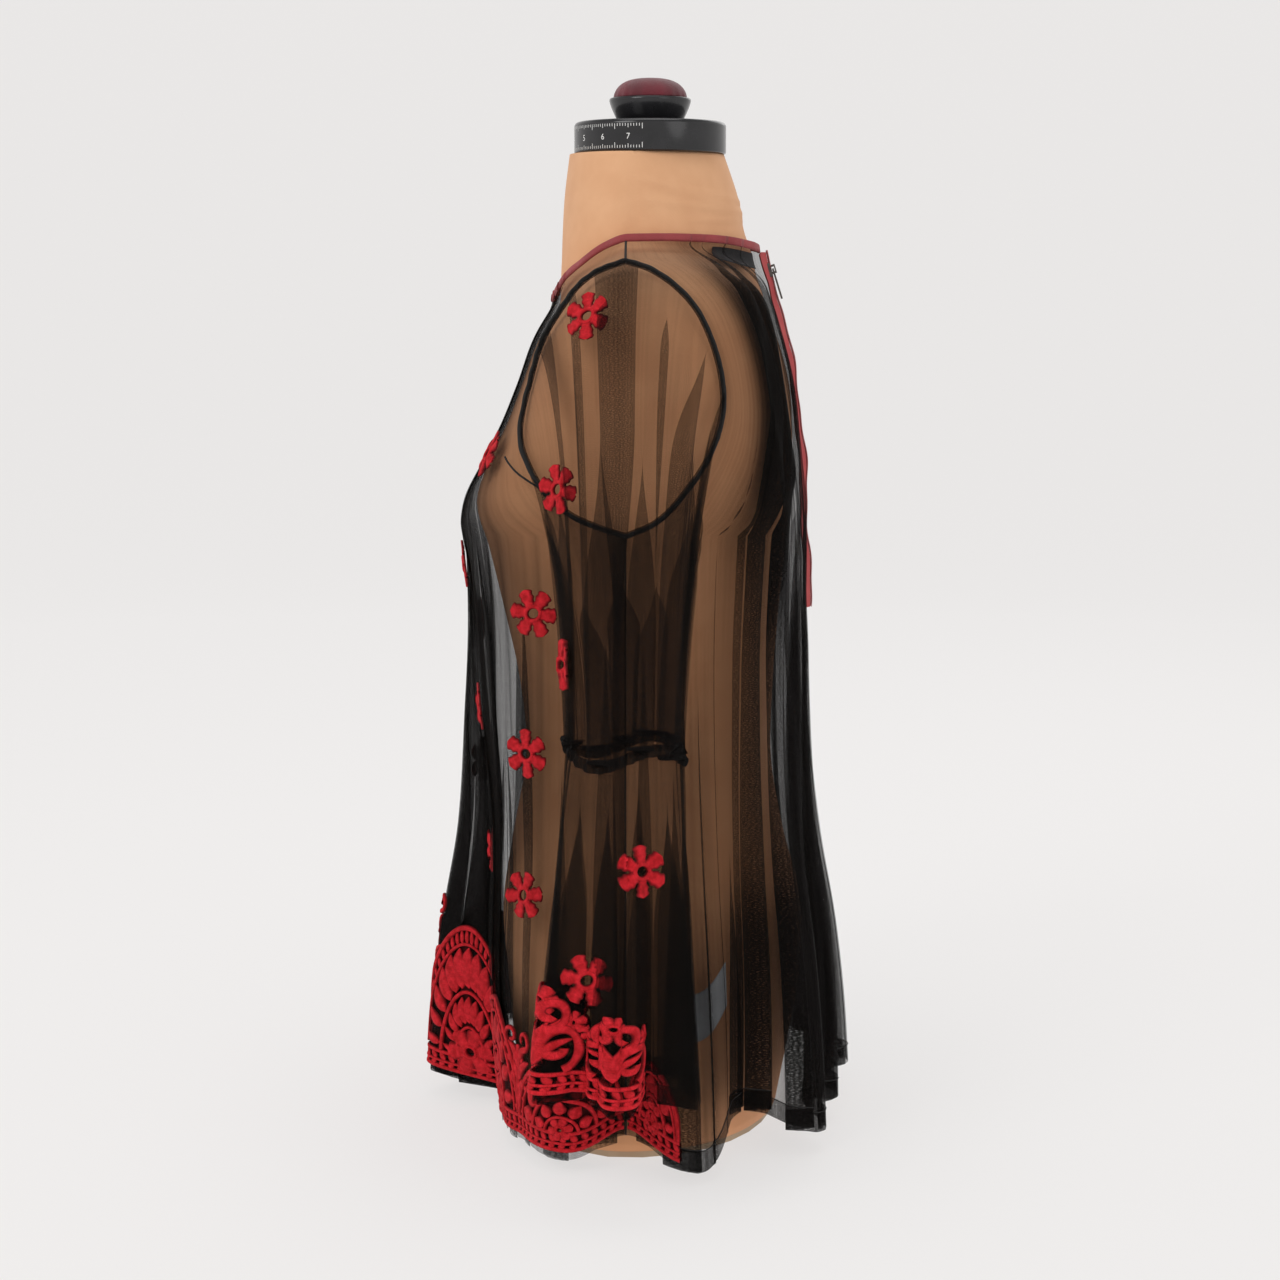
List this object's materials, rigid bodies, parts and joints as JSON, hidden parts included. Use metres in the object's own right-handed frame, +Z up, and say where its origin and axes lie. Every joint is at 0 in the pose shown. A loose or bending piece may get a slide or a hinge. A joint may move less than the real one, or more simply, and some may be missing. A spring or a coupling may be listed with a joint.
{
  "type": "embroidered bell sleeve blouse on a limbless dress form",
  "caption": "Sheer net blouse with bell sleeves, raised red lace and flowers and a back zip, on a limbless dress form with a pin cushion cap.",
  "frame": {"origin": "middle of the dress form's flat underside, on the surface it stands on", "axes": "+Z up; the front of the blouse faces -Y and the figure's left side is at +X"},
  "size_m": [0.634, 0.333, 0.79],
  "materials": {
    "net": "sheer black net",
    "net_band": "gathered black net, several layers",
    "lace": "thick red thread lace, matt",
    "binding": "dusty red bias binding",
    "zip_tape": "coral red woven tape",
    "zip_teeth": "red coil",
    "zip_metal": "dark metal",
    "form_cover": "peach knitted cover over a firm body",
    "board": "plain base board",
    "black_plastic": "glossy black",
    "pin_cloth": "burgundy cushion cloth",
    "black_label": "woven label",
    "white_label": "satin care label"
  },
  "bodies": {
    "blouse_on_form": {"front_panel": "net", "back_left": "net", "back_right": "net", "sleeve_left": "net", "sleeve_right": "net", "bell_left": "net", "bell_right": "net", "elbow_band_left": "net_band", "elbow_band_right": "net_band", "neck_binding": "binding", "zip_tape_left": "zip_tape", "zip_tape_right": "zip_tape", "zip_teeth": "zip_teeth", "zip_slider": "zip_metal", "neck_label": "black_label", "care_label": "white_label", "front_lace": "lace", "bell_lace_left": "lace", "bell_lace_right": "lace", "form_torso": "form_cover", "form_board": "board", "neck_cap": "black_plastic", "knob_collar": "black_plastic", "pin_cushion": "pin_cloth", "flower_front_01": "lace", "flower_front_02": "lace", "flower_front_03": "lace", "flower_front_04": "lace", "flower_front_05": "lace", "flower_front_06": "lace", "flower_front_07": "lace", "flower_front_08": "lace", "flower_front_09": "lace", "flower_front_10": "lace", "flower_front_11": "lace", "flower_front_12": "lace", "flower_sleeve_left_1": "lace", "flower_sleeve_left_2": "lace", "flower_sleeve_left_3": "lace", "flower_bell_left_1": "lace", "flower_bell_left_2": "lace", "flower_sleeve_right_1": "lace", "flower_sleeve_right_2": "lace", "flower_sleeve_right_3": "lace", "flower_bell_right_1": "lace", "flower_bell_right_2": "lace"},
    "zip_pull": {"zip_pull": "zip_metal"}
  },
  "joints": [
    {"name": "zip_pull_swing", "type": "hinge", "parent": "blouse_on_form", "child": "zip_pull", "pos_m": [0, 0.09362, 0.64733], "axis": [1, 0, 0], "range_deg": [0, 150]}
  ]
}
